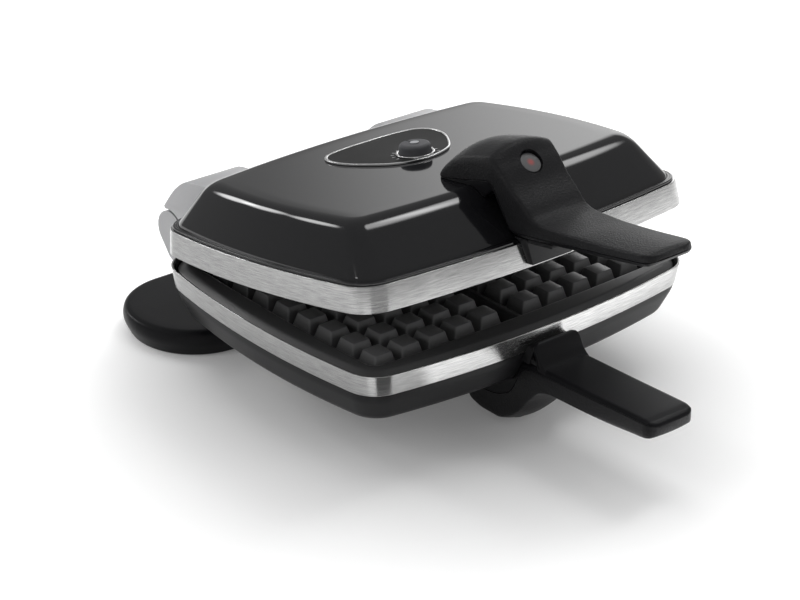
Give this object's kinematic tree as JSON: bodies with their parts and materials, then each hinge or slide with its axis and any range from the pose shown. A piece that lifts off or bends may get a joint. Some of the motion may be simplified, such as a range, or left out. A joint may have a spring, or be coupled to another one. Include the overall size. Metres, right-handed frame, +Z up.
{
  "type": "sandwich and waffle maker",
  "caption": "Countertop waffle iron with a hinged domed lid, cast block plates, mirrored front handles, a thermostat dial on the lid and a wide rear stand.",
  "frame": {"origin": "centre of the whole part's bounding box in plan, on the ground it stands on", "axes": "+Z up, -Y towards the person in front of it (the handles), +Y towards the hinges, +X to that person's right, along the hinge line"},
  "size_m": [0.2806, 0.403, 0.1829],
  "materials": {
    "gloss_black": "gloss",
    "satin_black": "satin",
    "black_plastic": "fine grain",
    "non_stick": "dark non-stick coating, satin",
    "brushed_steel": "brushed along the band",
    "plain_steel": "plain",
    "silver_paint": "silver-grey, satin",
    "ceramic": "unglazed ceramic",
    "dark_knob": "satin",
    "black_rubber": "matt",
    "grey_lens": "clear over grey",
    "red_glass": "tinted"
  },
  "bodies": {
    "base": {"lower_band": "brushed_steel", "lower_waffle_plate": "non_stick", "lower_heat_tray": "plain_steel", "lower_heating_element": "plain_steel", "lower_terminal_block": "ceramic", "lower_handle_outer": "black_plastic", "lower_handle_inner": "black_plastic", "lower_handle_bracket": "satin_black", "lower_pan": "satin_black", "lower_plate_screw_left": "plain_steel", "lower_plate_screw_right": "plain_steel", "lower_handle_screw_left": "plain_steel", "lower_handle_screw_right": "plain_steel", "lower_hinge_bracket_left": "silver_paint", "lower_hinge_bracket_right": "silver_paint", "hinge_pin_left": "plain_steel", "hinge_pin_right": "plain_steel", "hinge_clip_left": "plain_steel", "hinge_clip_right": "plain_steel", "lower_hinge_screw_left": "plain_steel", "lower_hinge_screw_right": "plain_steel", "stand_screw_left": "plain_steel", "stand_screw_right": "plain_steel", "stand_pad_left": "black_rubber", "stand_pad_right": "black_rubber", "rear_stand": "black_plastic", "stand_neck": "black_plastic", "front_foot_pad": "black_rubber", "cord_gland": "black_rubber"},
    "lid": {"upper_band": "brushed_steel", "upper_waffle_plate": "non_stick", "upper_heat_tray": "plain_steel", "upper_heating_element": "plain_steel", "upper_terminal_block": "ceramic", "upper_handle_outer": "black_plastic", "upper_handle_inner": "black_plastic", "upper_handle_bracket": "satin_black", "upper_cover": "gloss_black", "upper_plate_screw_left": "plain_steel", "upper_plate_screw_right": "plain_steel", "upper_handle_screw_left": "plain_steel", "upper_handle_screw_right": "plain_steel", "upper_hinge_bracket_left": "silver_paint", "upper_hinge_bracket_right": "silver_paint", "upper_hinge_screw_left": "plain_steel", "upper_hinge_screw_right": "plain_steel", "badge_plate": "gloss_black", "badge_rim": "brushed_steel", "dial_ring": "brushed_steel", "thermostat_nut": "plain_steel", "thermostat_body": "ceramic", "indicator_bezel": "black_plastic", "indicator_lens": "grey_lens", "indicator_lamp": "red_glass"},
    "knob": {"thermostat_knob": "dark_knob", "thermostat_spindle": "plain_steel"}
  },
  "joints": [
    {"name": "lid_hinge", "type": "hinge", "parent": "base", "child": "lid", "pos_m": [0, 0.1595, 0.0725], "axis": [-1, 0, 0], "range_deg": [-9.14, 86]},
    {"name": "thermostat_knob_turn", "type": "hinge", "parent": "lid", "child": "knob", "pos_m": [0, 0.03348, 0.14544], "axis": [0, 0.1588, 0.9873], "range_deg": [0, 270]}
  ]
}
